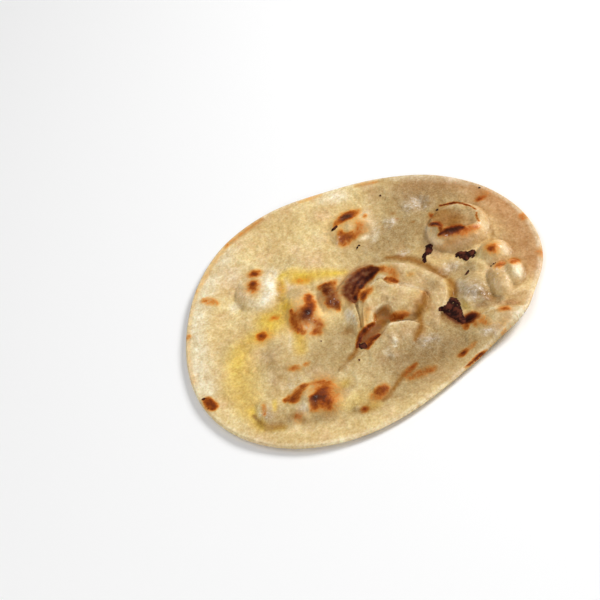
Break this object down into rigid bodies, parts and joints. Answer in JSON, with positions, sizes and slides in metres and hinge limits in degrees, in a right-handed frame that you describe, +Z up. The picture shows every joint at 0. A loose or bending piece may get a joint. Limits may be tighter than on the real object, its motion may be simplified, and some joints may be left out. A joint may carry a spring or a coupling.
{
  "type": "tandoori roti",
  "caption": "Round tandoori flatbread with a blistered, scorched top, a burst bubble and a torn blister, lying flat on its underside.",
  "frame": {"origin": "middle of the footprint, on the plane it lies on", "axes": "+X along the roti's longer way across, +Y along the shorter way, +Z up out of the blistered side"},
  "size_m": [0.1896, 0.1668, 0.0106],
  "materials": {
    "bread": "baked dough, cream to golden, with brown scorch marks, charred flecks and a thin buttery shine"
  },
  "bodies": {
    "root": {"roti": "bread"}
  },
  "joints": []
}
